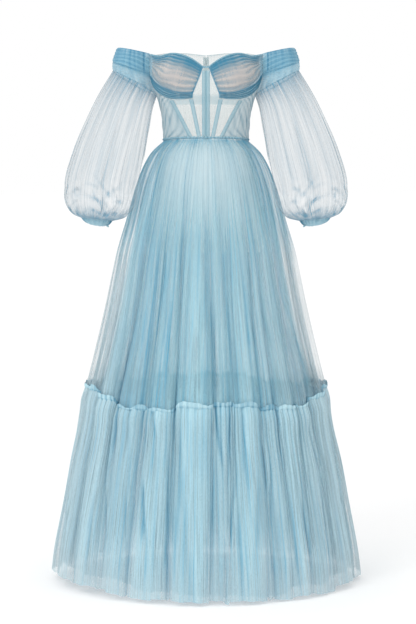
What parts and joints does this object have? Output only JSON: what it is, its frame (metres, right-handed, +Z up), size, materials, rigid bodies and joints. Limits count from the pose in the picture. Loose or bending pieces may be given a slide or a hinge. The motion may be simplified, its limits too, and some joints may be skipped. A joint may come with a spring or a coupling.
{
  "type": "maxi dress",
  "caption": "Off-shoulder tulle maxi dress with a boned sweetheart corset bodice, balloon sleeves, a gathered skirt and a ruffled bottom tier, in its worn shape.",
  "frame": {"origin": "middle of the waist seam, level with its lower edge, where the wearer's waist holds the dress", "axes": "+Z up towards the neckline, the front faces -Y, the wearer's left is +X"},
  "size_m": [0.783, 0.6895, 1.3345],
  "materials": {
    "corset_mesh": "sheer power mesh",
    "blue_tulle": "soft dusty blue tulle",
    "dense_tulle": "tightly gathered tulle",
    "sheer_tulle": "single sheer tulle",
    "boning_tape": "matt woven tape",
    "nude_lining": "smooth moulded lining",
    "slip_lining": "plain satin-backed lining",
    "zip_metal": "colour-matched paint"
  },
  "bodies": {
    "dress": {"front_centre_panel_left": "corset_mesh", "front_centre_panel_right": "corset_mesh", "front_middle_panel_left": "corset_mesh", "front_middle_panel_right": "corset_mesh", "side_panel_left": "blue_tulle", "side_panel_right": "blue_tulle", "back_panel_left": "corset_mesh", "back_panel_right": "corset_mesh", "centre_channel_left": "boning_tape", "centre_channel_right": "boning_tape", "inner_channel_left": "boning_tape", "inner_channel_right": "boning_tape", "outer_channel_left": "boning_tape", "outer_channel_right": "boning_tape", "cup_left": "sheer_tulle", "cup_right": "sheer_tulle", "cup_lining_left": "nude_lining", "cup_lining_right": "nude_lining", "neck_binding_left": "dense_tulle", "neck_binding_right": "dense_tulle", "underbust_drape_left": "blue_tulle", "underbust_drape_right": "blue_tulle", "shoulder_band_left": "dense_tulle", "shoulder_band_right": "dense_tulle", "sleeve_left": "sheer_tulle", "sleeve_right": "sheer_tulle", "cuff_left": "dense_tulle", "cuff_right": "dense_tulle", "waist_seam": "dense_tulle", "skirt_front": "blue_tulle", "skirt_back_left": "blue_tulle", "skirt_back_right": "blue_tulle", "underskirt": "blue_tulle", "slip": "slip_lining", "tier_front": "blue_tulle", "tier_back_left": "blue_tulle", "tier_back_right": "blue_tulle", "zip_tape": "blue_tulle", "zip_slider": "zip_metal"},
    "pull_tab": {"zip_tab": "zip_metal"}
  },
  "joints": [
    {"name": "tab_hinge", "type": "hinge", "parent": "dress", "child": "pull_tab", "pos_m": [0, 0.11139, 0.2162], "axis": [1, 0, 0], "range_deg": [0, 150]}
  ]
}
